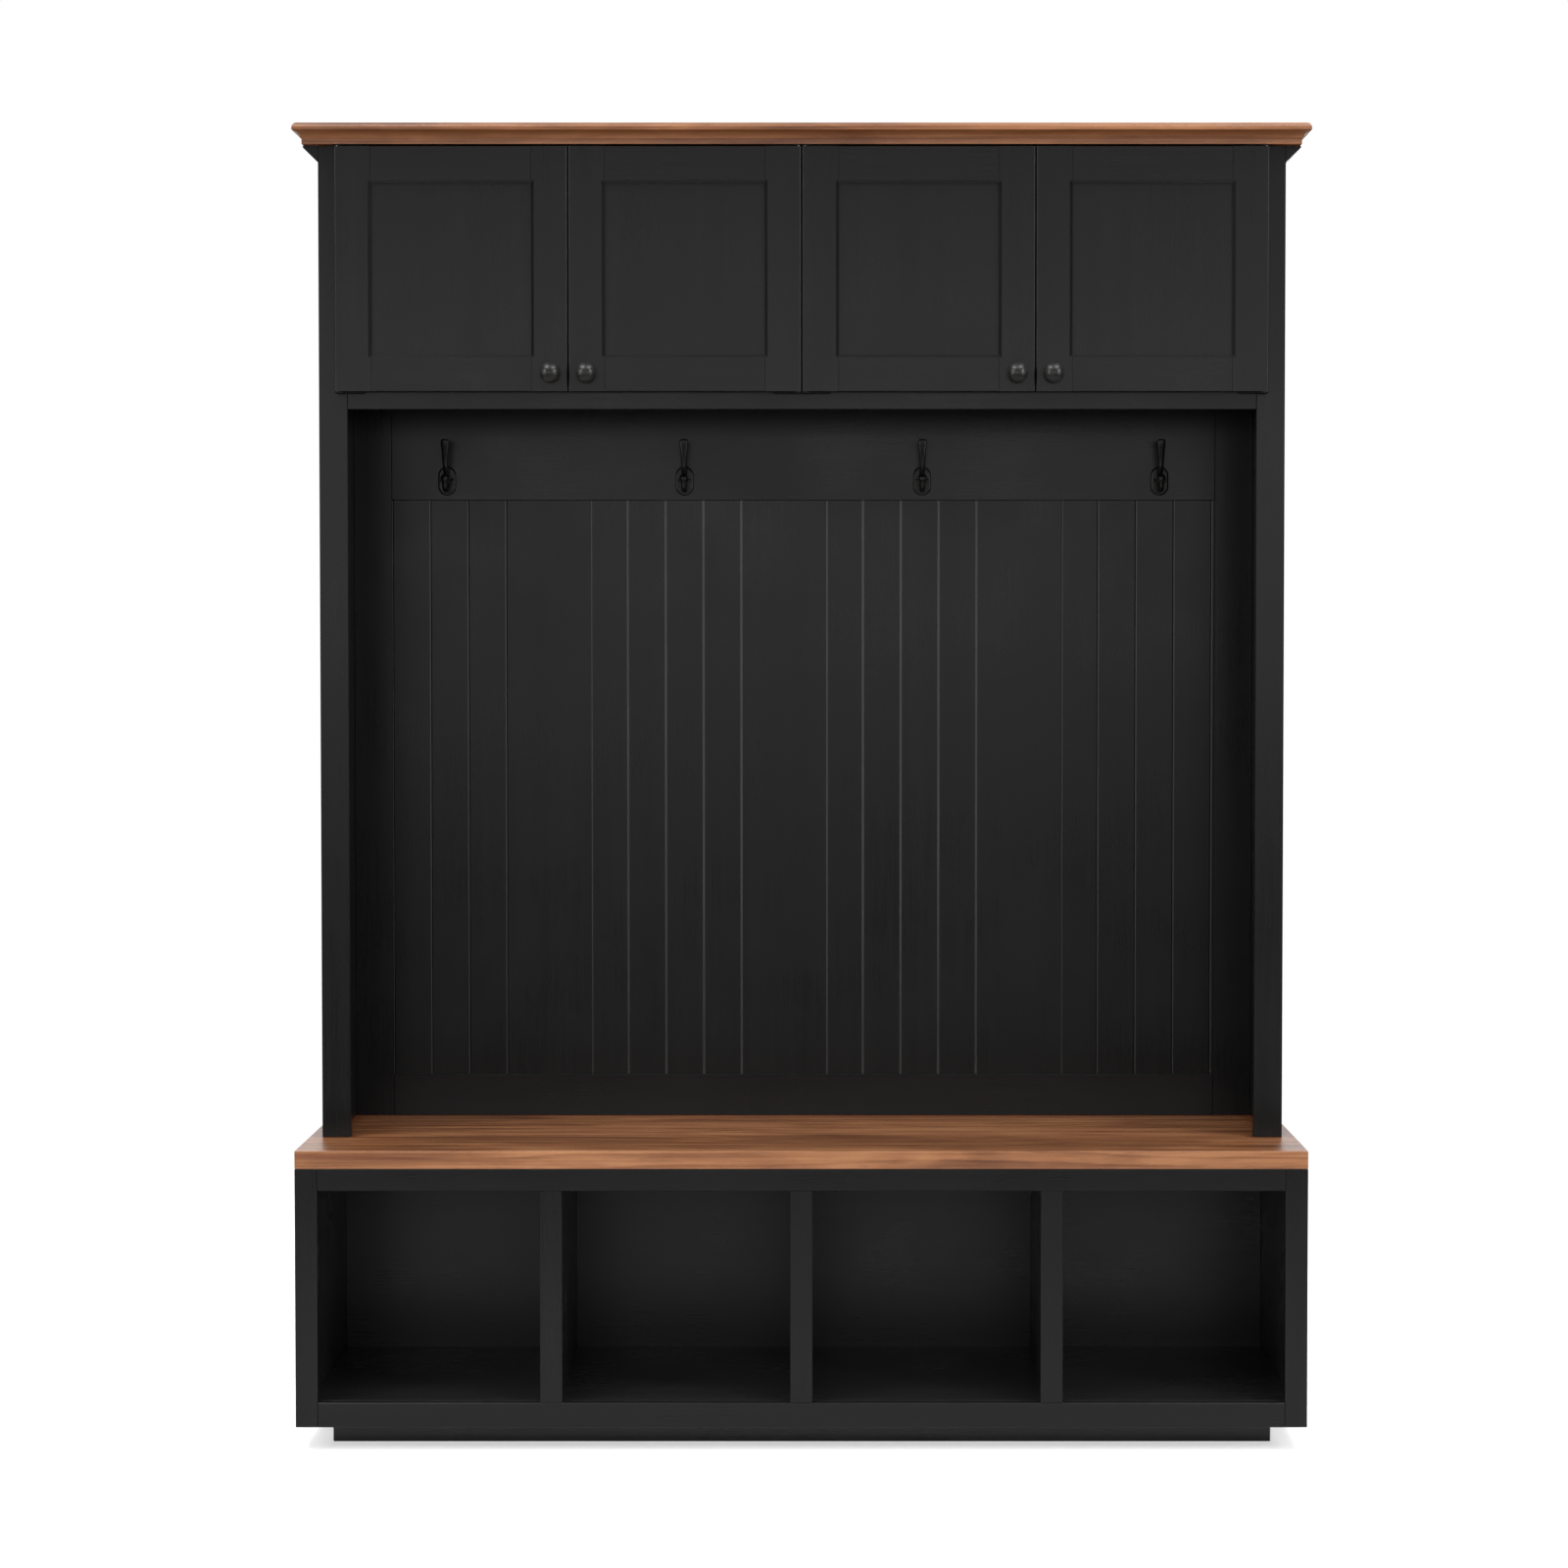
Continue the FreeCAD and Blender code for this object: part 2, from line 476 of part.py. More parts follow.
# Left edge of each door, and whether it hangs on its left side. Doors hang in pairs, with the knobs at the meeting edges.
DOORS = (("(-hinge_gap/2-2*door_width-door_gap)", True), ("(-hinge_gap/2-door_width)", False),
         ("(hinge_gap/2)", True), ("(hinge_gap/2+door_width+door_gap)", False))
pivots = []                                      # (left edge, axis, hinge side) of each door
for n, (LOW, hinge_left) in enumerate(DOORS, start=1):
    name = "door_%d" % n
    at = (LOW, DOOR_FACE, "door_low")
    left = profile(name + "_stile_left", STILE, "door_height", at)
    right = profile(name + "_stile_right", shifted(mirrored(STILE, -1), DW), "door_height", at)
    x = D["pivot_inset"] if hinge_left else DW - D["pivot_inset"]
    drilled(left if hinge_left else right, name, x, D["pivot_depth"])
    bevelled(left, name + "_left_bevel", "door_frame", "door_frame")
    bevelled(right, name + "_right_bevel", "door_frame", "door_frame")
    group(name + "_stiles", [left, right])

    # Rails: grooved on the inner edge, with a stub tenon on each end that fills the stile's groove.
    rails = []
    for end, flip in (("bottom", 1), ("top", -1)):
        inner = [(0, BREAK), (BREAK, 0), (DT - BREAK, 0), (DT, BREAK), (DT, FR - BREAK), (DT - BREAK, FR), (G1, FR), (G1, FR - GD),
                 (G0, FR - GD), (G0, FR), (BREAK, FR), (0, FR - BREAK)]
        tenon = [(G0, 0.8), (G1, 0.8), (G1, FR - GD), (G0, FR - GD)]
        body = doc.addObject("PartDesign::Body", "%s_rail_%s" % (name, end))
        for part, pts, length, off in (("bar", inner, "door_width-2*door_frame", 0.0),
                                       ("tenon", tenon, "door_width-2*door_frame+2*panel_groove", -GD)):
            sk = new_sketch(body, "%s_%s_%s" % (name, end, part), "YZ_Plane", V(0, 0, off))
            outline(sk, [(y, flip * z) for y, z in pts])
            pad(body, sk, length, "%s_%s_%s_pad" % (name, end, part))
        bevelled(body, "%s_%s_bevel" % (name, end), "0", "door_frame" if flip > 0 else "door_frame-door_height")
        place(body, (LOW + "+door_frame", DOOR_FACE, "door_low" if flip > 0 else "door_low+door_height"))
        rails.append(body)
    group(name + "_rails", rails)

    solid_board(name + "_panel", (LOW + "+door_frame-panel_groove", DOOR_FACE + "+panel_setback", "door_low+door_frame-panel_groove"),
                ("door_width-2*door_frame+2*panel_groove", "panel_thickness", "door_height-2*door_frame+2*panel_groove"), False)

    knob = turned(name + "_knob", knob_profile())
    knob.Placement = FreeCAD.Placement(V(0, 0, 0), FORWARD)
    place(knob, (LOW + ("+door_width-knob_inset" if hinge_left else "+knob_inset"), DOOR_FACE, "door_low+knob_inset"))
    keep(knob, name + "_knob")

    axis_x = LOW + ("+pivot_inset" if hinge_left else "+door_width-pivot_inset")
    low_bush = bush(name + "_bush_low", True)
    place(low_bush, (axis_x, DOOR_FACE + "+pivot_depth", "door_low"))
    high_bush = bush(name + "_bush_high", False)
    place(high_bush, (axis_x, DOOR_FACE + "+pivot_depth", "door_low+door_height-bush_length"))
    group(name + "_pivot_bushes", [low_bush, high_bush])
    pivots.append((LOW, axis_x, hinge_left))

# Pivot plates on the cabinet: a tongue under each door with a leaf up the rail behind it,
# and a flat plate under the cornice. Each holds one pin.
plates, pins = [], []
reach_y = D["door_standoff"] + D["door_thickness"]           # face frame to door front
for n, (_, axis_x, hinge_left) in enumerate(pivots, start=1):
    s = 1 if hinge_left else -1
    inset = D["pivot_depth"]
    for end, nose in (("low", 0.5), ("high", reach_y - D["cornice_band"] + 0.2)):
        body = doc.addObject("PartDesign::Body", "pivot_plate_%d_%s" % (n, end))
        sk = new_sketch(body, body.Name + "_outline")
        y0, y1 = nose - inset, reach_y - inset
        pts = [(-3.6, y0 + 1.4), (-2.2, y0), (4.0, y0), (14.0, y0 + 8.0), (38.0, y0 + 8.0), (38.0, y1), (-3.6, y1)]
        outline(sk, mirrored(pts, s) if s > 0 else [(-x, y) for x, y in pts])
        circles(sk, [(0.0, 0.0)], "pin_radius+0.02")
        pad(body, sk, "plate_thickness", body.Name + "_pad")
        if end == "low":
            sk = new_sketch(body, body.Name + "_leaf", "XY_Plane", V(0, 0, 0))
            leaf = [(8.0, y1 - 2.0), (38.0, y1 - 2.0), (38.0, y1), (8.0, y1)]
            outline(sk, [(s * x, y) for x, y in leaf])
            pad(body, sk, "plate_thickness+15.5", body.Name + "_leaf_pad")
        place(body, (axis_x, DOOR_FACE + "+pivot_depth", "door_low-0.5-plate_thickness" if end == "low" else "hutch_top-plate_thickness"))
        plates.append(body)
        pin = doc.addObject("Part::Cylinder", "pivot_pin_%d_%s" % (n, end))
        pin.setExpression("Radius", cells("pin_radius"))
        if end == "low":
            pin.setExpression("Height", cells("plate_thickness+0.5+bush_length-2"))
            place(pin, (axis_x, DOOR_FACE + "+pivot_depth", "door_low-0.5-plate_thickness"))
        else:
            pin.setExpression("Height", cells("hutch_top-door_low-door_height+bush_length-2"))
            place(pin, (axis_x, DOOR_FACE + "+pivot_depth", "door_low+door_height-bush_length+2"))
        pins.append(pin)
group("pivot_plates", plates)
group("pivot_pins", pins)

# Soft bumpers on the two rails, behind the free edge of each door.
bumpers = []
for n, (low, _, hinge_left) in enumerate(pivots, start=1):
    free = low + ("+door_width-16" if hinge_left else "+16")
    for end, z in (("low", FLOOR + "-8"), ("high", "hutch_top-25")):
        b = doc.addObject("Part::Cylinder", "door_bumper_%d_%s" % (n, end))
        b.setExpression("Radius", cells("bumper_radius"))
        b.setExpression("Height", cells("bumper_thickness"))
        b.Placement = FreeCAD.Placement(V(0, 0, 0), FORWARD)
        place(b, (free, FACE, z))
        bumpers.append(b)
group("door_bumpers", bumpers)

# ------------------------------------------------------------------------- hooks
# A cast hook: arched plate, a long upper prong that flares to its tip, and a short
# lower prong that turns up to a round end. Built about the plate's middle, on the rail.


def ring(centre, along, wide, thick):
    """An elliptical section across a prong that runs in the YZ plane."""
    x = V(1, 0, 0)
    n = V(along).normalize()
    return Part.Wire([Part.Ellipse(centre + x * (wide / 2), centre + n.cross(x) * (thick / 2), centre).toShape()
                      if wide > thick else Part.Ellipse(centre + n.cross(x) * (thick / 2), centre + x * (wide / 2), centre).toShape()])


def prong(stations):
    """stations: (forward, up, wide, thick) down the middle of the prong."""
    pts = [V(0, -f, u) for f, u, _, _ in stations]
    wires = []
    for i, (f, u, w, t) in enumerate(stations):
        a, b = pts[max(i - 1, 0)], pts[min(i + 1, len(pts) - 1)]
        wires.append(ring(pts[i], b - a, w, t))
    return Part.makeLoft(wires, True, False)


def hook_shape():
    r, s, t = D["hook_half_width"], D["hook_straight"] / 2, D["hook_plate"]
    a, b, c, d = V(-r, 0, -s), V(r, 0, -s), V(r, 0, s), V(-r, 0, s)
    wire = Part.Wire([Part.Arc(a, V(0, 0, -s - r), b).toShape(), Part.LineSegment(b, c).toShape(),
                      Part.Arc(c, V(0, 0, s + r), d).toShape(), Part.LineSegment(d, a).toShape()])
    plate = Part.Face(wire).extrude(V(0, -t, 0))
    front = [e for e in plate.Edges if abs(e.CenterOfMass.y + t) < 0.01]
    plate = plate.makeFillet(3.0, front)
    upper = prong([(1.5, 7.0, 9.0, 9.0), (8.0, 8.0, 8.4, 8.0), (18.0, 11.5, 8.0, 7.2), (27.0, 20.0, 8.2, 6.6), (32.5, 32.0, 9.0, 6.2),
                   (35.5, 45.0, 10.6, 5.8), (37.0, 56.0, 12.6, 5.4), (37.6, 61.5, 12.0, 4.8), (37.9, 64.5, 8.6, 3.4)])
    lower = prong([(1.5, -7.0, 9.0, 9.0), (8.0, -9.0, 8.6, 8.4), (17.0, -13.0, 8.2, 8.0), (26.0, -15.0, 8.2, 8.0), (34.0, -12.0, 8.4, 8.0),
                   (38.5, -4.5, 8.8, 8.2), (39.5, 1.0, 8.6, 8.2)])
    ball = Part.makeSphere(6.6, V(0, -39.6, 3.0))
    body = plate.fuse([upper, lower, ball]).removeSplitter()
    for side in (-1, 1):
        hole = Part.makeCylinder(D["screw_radius"] + 0.15, 9, V(side * D["screw_offset"], 1, 0), V(0, -1, 0))
        body = body.cut(hole)
    return body.Solids[0] if len(body.Solids) == 1 else body


doc.recompute()
hook = hook_shape()
for n, x in enumerate(hook_x, start=1):
    f = doc.addObject("Part::Feature", "coat_hook_%d" % n)
    f.Shape = hook
    place(f, ("%s*hook_pitch" % (n - 2.5), FRAME, "hook_height"))
    keep(f, "coat_hook_%d" % n)

screws = []
for n in range(1, 5):
    for side in (-1, 1):
        pts = [(D["screw_radius"], -15.5), (D["screw_radius"], 0.0), (3.0, 0.0), (3.0, 0.6), dome(3.0, 0.6, 1.9), (0, -15.5)]
        sc = turned("hook_screw_%d_%s" % (n, "left" if side < 0 else "right"), pts)
        doc.recompute()
        plain = sc.Shape.Volume
        sk = new_sketch(sc, sc.Name + "_cross", "XY_Plane", V(0, 0, 2.0))
        turn = math.radians(17.0 * n + 31.0 * side)
        arm = [(0.4, 0.4), (0.4, 1.7), (-0.4, 1.7), (-0.4, 0.4), (-1.7, 0.4), (-1.7, -0.4), (-0.4, -0.4), (-0.4, -1.7),
               (0.4, -1.7), (0.4, -0.4), (1.7, -0.4), (1.7, 0.4)]
        outline(sk, [(x * math.cos(turn) - y * math.sin(turn), x * math.sin(turn) + y * math.cos(turn)) for x, y in arm])
        recess = sc.newObject("PartDesign::Pocket", sc.Name + "_recess")
        recess.Profile = sk
        recess.Length = 1.1
        doc.recompute()
        assert plain - sc.Shape.Volume > 2.0, sc.Name
        sc.Placement = FreeCAD.Placement(V(0, 0, 0), FORWARD)
        place(sc, ("%s*hook_pitch+%d*screw_offset" % (n - 2.5, side), FRAME + "-hook_plate", "hook_height"))
        screws.append(sc)
group("hook_screws", screws)

# ------------------------------------------------------------------ check, write
doc.recompute()
bad = [o.Label for o in doc.Objects if "Invalid" in o.State or "Error" in o.State]
for o in nodes:
    if o.Shape.isNull() or not o.Shape.isValid() or not o.Shape.Solids:
        bad.append(o.Label)
if bad:
    raise RuntimeError("failed objects: %s" % ", ".join(bad))
labels = [o.Label for o in nodes]
assert len(labels) == len(set(labels)) and len(labels) <= 60, len(labels)
os.makedirs("parts", exist_ok=True)
box = FreeCAD.BoundBox()
for o in nodes:
    o.Shape.exportStep("parts/%s.step" % o.Label)
    box.add(o.Shape.BoundBox)
print(len(nodes), "nodes,", sum(len(o.Shape.Solids) for o in nodes), "solids")
print("box", [round(v, 2) for v in (box.XMin, box.XMax, box.YMin, box.YMax, box.ZMin, box.ZMax)])
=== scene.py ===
import bpy
import json
import math
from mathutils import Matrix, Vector

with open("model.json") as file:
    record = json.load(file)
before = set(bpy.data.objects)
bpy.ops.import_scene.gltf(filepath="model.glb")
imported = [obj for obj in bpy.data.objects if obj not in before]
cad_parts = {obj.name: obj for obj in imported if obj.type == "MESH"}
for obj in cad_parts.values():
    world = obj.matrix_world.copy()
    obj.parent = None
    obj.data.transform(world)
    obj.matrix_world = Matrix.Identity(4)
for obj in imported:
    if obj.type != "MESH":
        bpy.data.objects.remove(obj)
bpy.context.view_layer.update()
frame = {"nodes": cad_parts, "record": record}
scene = bpy.context.scene
nodes = frame["nodes"]


# ------------------------------------------------------------------ node graphs
class Graph:
    """A material's node tree, with short calls for the nodes used below."""

    def __init__(self, name):
        self.mat = bpy.data.materials.new(name)
        self.mat.use_nodes = True
        self.tree = self.mat.node_tree
        self.tree.nodes.clear()
        self.out = self.tree.nodes.new("ShaderNodeOutputMaterial")
        self.shader = self.tree.nodes.new("ShaderNodeBsdfPrincipled")
        self.join(self.shader.outputs[0], self.out.inputs[0])

    def node(self, kind, **settings):
        n = self.tree.nodes.new("ShaderNode" + kind)
        for key, value in settings.items():
            setattr(n, key, value)
        return n

    def join(self, a, b):
        self.tree.links.new(a, b)

    def feed(self, socket, value):
        """A link if value is a socket, a constant if it is a number or tuple."""
        if isinstance(value, bpy.types.NodeSocket):
            self.join(value, socket)
        elif value is not None:
            socket.default_value = value

    def math(self, op, a, b=None, c=None, clamp=False):
        n = self.node("Math", operation=op, use_clamp=clamp)
        for socket, value in zip(n.inputs, (a, b, c)):
            self.feed(socket, value)
        return n.outputs[0]

    def vector(self, op, a, b=None, scale=None):
        n = self.node("VectorMath", operation=op)
        self.feed(n.inputs[0], a)
        if b is not None:
            self.feed(n.inputs[1], b)
        if scale is not None:
            self.feed(n.inputs["Scale"], scale)
        return n.outputs["Value"] if op in ("DOT_PRODUCT", "LENGTH", "DISTANCE") else n.outputs[0]

    def split(self, v):
        n = self.node("SeparateXYZ")
        self.join(v, n.inputs[0])
        return n.outputs

    def merge(self, x, y, z):
        n = self.node("CombineXYZ")
        for socket, value in zip(n.inputs, (x, y, z)):
            self.feed(socket, value)
        return n.outputs[0]

    def noise(self, at, scale=1.0, detail=3.0, rough=0.55, distort=0.0):
        n = self.node("TexNoise")
        self.join(at, n.inputs["Vector"])
        n.inputs["Scale"].default_value = scale
        n.inputs["Detail"].default_value = detail
        n.inputs["Roughness"].default_value = rough
        n.inputs["Distortion"].default_value = distort
        return n.outputs[0]

    def ramp(self, factor, stops, interpolation="LINEAR"):
        n = self.node("ValToRGB")
        n.color_ramp.interpolation = interpolation
        while len(n.color_ramp.elements) < len(stops):
            n.color_ramp.elements.new(0.5)
        for e, (pos, col) in zip(n.color_ramp.elements, stops):
            e.position = pos
            e.color = col if len(col) == 4 else (*col, 1.0)
        self.join(factor, n.inputs[0])
        return n.outputs[0]

    def remap(self, value, a, b, c, d, smooth=False):
        n = self.node("MapRange", interpolation_type="SMOOTHSTEP" if smooth else "LINEAR", clamp=True)
        self.feed(n.inputs[0], value)
        for socket, v in zip(n.inputs[1:5], (a, b, c, d)):
            socket.default_value = v
        return n.outputs[0]

    def blend(self, factor, a, b, kind="MIX"):
        n = self.node("Mix", data_type="RGBA", blend_type=kind)
        self.feed(n.inputs[0], factor)
        self.feed(n.inputs[6], a if isinstance(a, bpy.types.NodeSocket) else (*a, 1.0))
        self.feed(n.inputs[7], b if isinstance(b, bpy.types.NodeSocket) else (*b, 1.0))
        return n.outputs[2]

    def bump(self, height, distance, strength=1.0, after=None):
        n = self.node("Bump")
        n.inputs["Strength"].default_value = strength
        n.inputs["Distance"].default_value = distance
        self.join(height, n.inputs["Height"])
        if after is not None:
            self.join(after, n.inputs["Normal"])
        return n.outputs[0]

    def edges(self, radius, gain):
        """1 along broken edges and corners, 0 on the flats."""
        bevel = self.node("Bevel", samples=4)
        bevel.inputs["Radius"].default_value = radius
        geometry = self.node("NewGeometry")
        turn = self.math("SUBTRACT", 1.0, self.vector("DOT_PRODUCT", bevel.outputs[0], geometry.outputs["Normal"]))
        return self.math("MULTIPLY", turn, gain, clamp=True)

    def set(self, **values):
        for key, value in values.items():
            self.feed(self.shader.inputs[key.replace("_", " ")], value)


def piece_coords(g):
    """Object coordinates, shifted from piece to piece so that no two boards repeat."""
    at = g.node("TexCoord").outputs["Object"]
    lot = g.node("ObjectInfo").outputs["Random"]
    return g.vector("ADD", at, g.vector("SCALE", (3.1, 7.3, 5.7), scale=lot))


def stretched(g, at, along, length, across):
    """Coordinates squeezed along the grain: a feature is length metres long and across metres wide."""
    k = [1.0 / across] * 3
    k["xyz".index(along)] = 1.0 / length
    return g.vector("MULTIPLY", at, tuple(k))


# -------------------------------------------------------------------- materials
def black_paint(name, along, depth=1.0, gloss=0.25):
    """Satin black paint over wood: the grain shows through a little, edges are rubbed."""
    g = Graph(name)
    at = piece_coords(g)
    grain = g.noise(stretched(g, at, along, 0.16, 0.0032), 1.0, 4.0, 0.62)
    streak = g.noise(stretched(g, at, along, 0.9, 0.024), 1.0, 3.0, 0.5)
    pores = g.remap(g.noise(stretched(g, at, along, 0.028, 0.0010), 1.0, 2.0, 0.5), 0.60, 0.76, 0.0, 1.0)
    cloud = g.noise(at, 5.5, 4.0, 0.55)
    peel = g.noise(at, 520.0, 2.0, 0.5)
    edge = g.edges(0.0016, 3.2)
    rub = g.math("MULTIPLY", edge, g.remap(g.noise(at, 34.0, 3.0, 0.6), 0.40, 0.66, 0.15, 1.0))
    # depth scales the tones: above 1 it gives a lighter copy of the same paint, painted light for shaded places.
    tones = [(0.28, (0.0028, 0.0028, 0.0030)), (0.5, (0.0038, 0.0038, 0.0039)), (0.74, (0.0052, 0.0051, 0.0050))]
    body = g.ramp(g.math("ADD", g.math("MULTIPLY", streak, 0.55), g.math("MULTIPLY", grain, 0.45)),
                  [(at_tone, tuple(depth * c for c in tone)) for at_tone, tone in tones])
    body = g.blend(pores, body, (0.0020, 0.0020, 0.0021))
    body = g.blend(g.math("MULTIPLY", rub, 0.55), body, (0.016, 0.0155, 0.015))
    rough = g.math("ADD", g.remap(cloud, 0.3, 0.7, 0.26, 0.32), g.math("MULTIPLY", g.math("SUBTRACT", grain, 0.5), 0.08))
    rough = g.math("SUBTRACT", rough, g.math("MULTIPLY", rub, 0.10))
    relief = g.bump(peel, 0.00004, 0.5)
    relief = g.bump(g.math("SUBTRACT", grain, g.math("MULTIPLY", pores, 0.2)), 0.00009, 0.5, relief)
    relief = g.bump(streak, 0.0004, 0.16, relief)
    g.set(Base_Color=body, Roughness=rough, Normal=relief)
    g.shader.inputs["IOR"].default_value = 1.5
    g.shader.inputs["Specular IOR Level"].default_value = gloss
    return g.mat


def stained_wood(name):
    """Red-brown stained hardwood, grain along X, glued up from staves across the depth."""
    g = Graph(name)
    at = g.node("TexCoord").outputs["Object"]
    x, y, z = g.split(at)
    wander = g.noise(g.merge(g.math("MULTIPLY", x, 0.7), 0.0, 0.0), 1.0, 1.0)
    stave = g.math("FLOOR", g.math("DIVIDE", g.math("ADD", y, 0.2285 + 0.0004), 0.0915))
    white = g.node("TexWhiteNoise", noise_dimensions="1D")
    g.join(stave, white.inputs["W"])
    lot = white.outputs["Value"]
    at = g.vector("ADD", at, g.vector("SCALE", (4.3, 1.9, 2.3), scale=lot))
    # Growth rings about a line under the board, wandering slowly along it.
    bend = g.noise(stretched(g, at, "x", 0.75, 0.11), 1.0, 2.0, 0.5)
    ax, ay, az = g.split(at)
    ry = g.math("ADD", ay, g.math("MULTIPLY", g.math("SUBTRACT", bend, 0.5), 0.13))
    rz = g.math("ADD", az, g.math("ADD", 0.05, g.math("MULTIPLY", g.math("SUBTRACT", wander, 0.5), 0.06)))
    radius = g.vector("LENGTH", g.merge(0.0, ry, rz))
    ring = g.math("FRACT", g.math("MULTIPLY", radius, 62.0))
    late = g.ramp(ring, [(0.0, (0.15,) * 3), (0.62, (0.42,) * 3), (0.86, (0.95,) * 3), (1.0, (0.15,) * 3)], "EASE")
    fibre = g.noise(stretched(g, at, "x", 0.30, 0.0034), 1.0, 5.0, 0.62)
    band = g.noise(stretched(g, at, "x", 1.1, 0.021), 1.0, 3.0, 0.55)
    pores = g.remap(g.noise(stretched(g, at, "x", 0.030, 0.0011), 1.0, 2.0, 0.5), 0.60, 0.74, 0.0, 1.0)
    mottle = g.noise(stretched(g, at, "x", 0.30, 0.070), 1.0, 4.0, 0.62, 0.5)
    flame = g.remap(g.noise(stretched(g, at, "x", 0.42, 0.014), 1.0, 3.0, 0.55), 0.54, 0.72, 0.0, 1.0)
    edge = g.edges(0.0022, 2.4)
    tone = g.math("ADD", g.math("MULTIPLY", band, 0.56), g.math("MULTIPLY", fibre, 0.26))
    tone = g.math("ADD", tone, g.math("MULTIPLY", g.math("SUBTRACT", 0.5, late), 0.16))
    tone = g.math("ADD", tone, g.math("MULTIPLY", g.math("SUBTRACT", lot, 0.5), 0.12))
    tone = g.math("ADD", tone, g.math("MULTIPLY", g.math("SUBTRACT", mottle, 0.5), 1.0))
    colour = g.ramp(tone, [(0.18, (0.088, 0.030, 0.0115)), (0.38, (0.180, 0.069, 0.0272)), (0.55, (0.278, 0.118, 0.0495)),
                           (0.78, (0.376, 0.177, 0.0810))])
    colour = g.blend(g.math("MULTIPLY", flame, 0.52), colour, (0.150, 0.044, 0.017))
    colour = g.blend(g.math("MULTIPLY", pores, 0.55), colour, (0.092, 0.031, 0.013))
    colour = g.blend(g.math("MULTIPLY", edge, 0.22), colour, (0.54, 0.25, 0.116))
    # Painted shade: the wood is darkened in creases, corners and where it meets other parts, going by ambient
    # occlusion.
    crease_occlusion = g.node("AmbientOcclusion", samples=8)
    crease_occlusion.inputs["Distance"].default_value = 0.030
    painted_crease_shade = g.remap(crease_occlusion.outputs["AO"], 0.58, 0.97, 0.92, 0.0, smooth=True)
    colour = g.blend(painted_crease_shade, colour, (0.120, 0.034, 0.011))
    # Painted shade: wood faces turned downwards are darkened and given less specular sheen.
    underside_shade = g.remap(g.split(g.node("NewGeometry").outputs["Normal"])[2], -0.20, -0.62, 0.0, 1.0, smooth=True)
    colour = g.blend(g.math("MULTIPLY", underside_shade, 0.42), colour, (0.125, 0.040, 0.013))
    rough = g.math("ADD", g.remap(fibre, 0.3, 0.7, 0.24, 0.33), g.math("MULTIPLY", pores, 0.12))
    relief = g.bump(g.math("SUBTRACT", fibre, g.math("MULTIPLY", pores, 0.5)), 0.00013, 0.6)
    relief = g.bump(late, 0.00012, 0.5, relief)
    g.set(Base_Color=colour, Roughness=rough, Normal=relief, Specular_IOR_Level=g.remap(underside_shade, 0.0, 1.0, 0.5, 0.08))
    g.shader.inputs["IOR"].default_value = 1.5
    return g.mat


def dark_metal(name, dark, light, rubbed, low, high, bare):
    """Dark cast metal with a half-gloss lacquer, a little brighter where hands rub it."""
    g = Graph(name)
    at = piece_coords(g)
    cast = g.noise(at, 260.0, 4.0, 0.6)
    cloud = g.noise(at, 55.0, 3.0, 0.55)
    edge = g.edges(0.0012, 2.2)
    rub = g.math("MULTIPLY", edge, g.remap(cloud, 0.35, 0.65, 0.2, 1.0))
    colour = g.ramp(cloud, [(0.3, dark), (0.7, light)])
    colour = g.blend(g.math("MULTIPLY", rub, 0.6), colour, rubbed)
    rough = g.math("SUBTRACT", g.remap(cast, 0.3, 0.7, low, high), g.math("MULTIPLY", rub, 0.06))
    g.set(Base_Color=colour, Roughness=rough, Normal=g.bump(cast, 0.00010, 0.6))
    # Painted shade: metal faces turned downwards get less specular sheen, which dims the reflections on their
    # undersides.
    underside_shade = g.remap(g.split(g.node("NewGeometry").outputs["Normal"])[2], 0.05, -0.45, 0.0, 1.0, smooth=True)
    g.set(Specular_IOR_Level=g.remap(underside_shade, 0.0, 1.0, 0.32, 0.12))
    g.shader.inputs["Metallic"].default_value = bare
    return g.mat


def hardware(name, dark, light, metallic, low, high, scale, depth, sheen=0.5):
    """Small fittings: a speckled tone and roughness at the given scale."""
    g = Graph(name)
    at = piece_coords(g)
    speck = g.noise(at, scale, 4.0, 0.6)
    edge = g.edges(0.0006, 2.0)
    colour = g.blend(g.math("MULTIPLY", edge, 0.4), g.ramp(speck, [(0.3, dark), (0.7, light)]), tuple(min(1.0, 2.4 * c) for c in light))
    g.set(Base_Color=colour, Roughness=g.remap(speck, 0.3, 0.7, low, high), Normal=g.bump(speck, depth, 0.7))
    g.shader.inputs["Metallic"].default_value = metallic
    g.shader.inputs["Specular IOR Level"].default_value = sheen
    return g.mat


PAINT = {a: black_paint("black_paint_" + a, a) for a in "xyz"}
# Painted light: lighter copies of the same black paint lift the shade on the inside faces (2.5 times) and on the
# plinth under the bench (3.7 times).
INSIDE_SHADE_LIFTED = {a: black_paint("black_paint_inside_shade_lifted_" + a, a, 2.5, 0.28) for a in "xyz"}
PLINTH_SHADE_LIFTED = {a: black_paint("black_paint_base_" + a, a, 3.7, 0.34) for a in "xy"}
WOOD = stained_wood("stained_wood")
METAL = dark_metal("dark_metal", (0.0125, 0.0120, 0.0116), (0.018, 0.0173, 0.0166), (0.032, 0.030, 0.028), 0.24, 0.32, 0.2)
HOOK_METAL = dark_metal("hook_metal", (0.015, 0.0146, 0.0143), (0.023, 0.0222, 0.0215), (0.055, 0.051, 0.047), 0.26, 0.36, 0.8)
BLACK_STEEL = hardware("black_steel", (0.0022, 0.0022, 0.0023), (0.0040, 0.0040, 0.0040), 0.0, 0.46, 0.60, 420.0, 0.00005, 0.12)
STEEL = hardware("steel", (0.11, 0.11, 0.115), (0.20, 0.20, 0.20), 1.0, 0.28, 0.42, 700.0, 0.00002)
